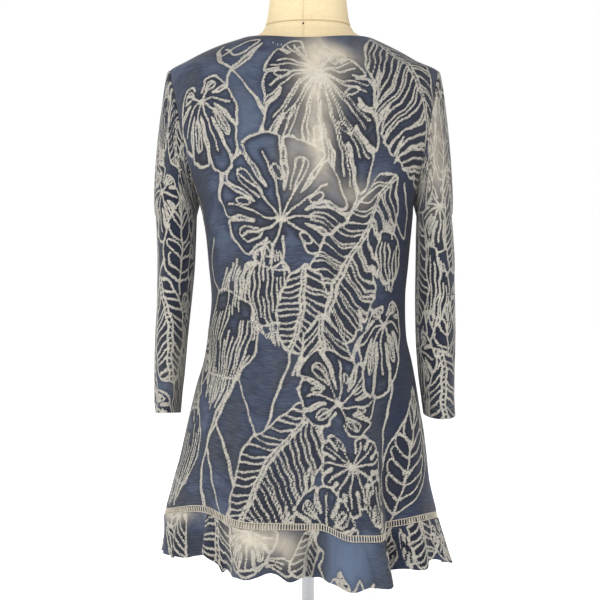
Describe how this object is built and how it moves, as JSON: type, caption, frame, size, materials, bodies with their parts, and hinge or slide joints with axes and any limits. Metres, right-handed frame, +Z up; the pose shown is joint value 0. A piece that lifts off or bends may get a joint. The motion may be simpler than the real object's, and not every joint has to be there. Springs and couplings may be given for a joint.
{
  "type": "tunic top on a dress form",
  "caption": "Leaf-printed knit tunic top with three-quarter sleeves, a ladder-stitch insertion and a ruffled hem, on a small linen dress form with a short round stand.",
  "frame": {"origin": "centre of the stand's underside, on the floor", "axes": "+Z up, the garment's front faces -Y and its back +Y, +X is the wearer's left"},
  "size_m": [0.4365, 0.3611, 0.9933],
  "materials": {
    "printed_knit": "matte",
    "openwork_tape": "matte",
    "linen_cover": "matte",
    "varnished_wood": "satin",
    "brushed_steel": "satin",
    "painted_iron": "satin"
  },
  "bodies": {
    "root": {"back": "printed_knit", "front": "printed_knit", "sleeve_left": "printed_knit", "sleeve_right": "printed_knit", "ruffle_back": "printed_knit", "ruffle_front": "printed_knit", "insertion_back": "openwork_tape", "insertion_front": "openwork_tape", "form_torso": "linen_cover", "form_neck_cap": "varnished_wood", "stand_pole": "brushed_steel", "stand_base": "painted_iron"}
  },
  "joints": []
}
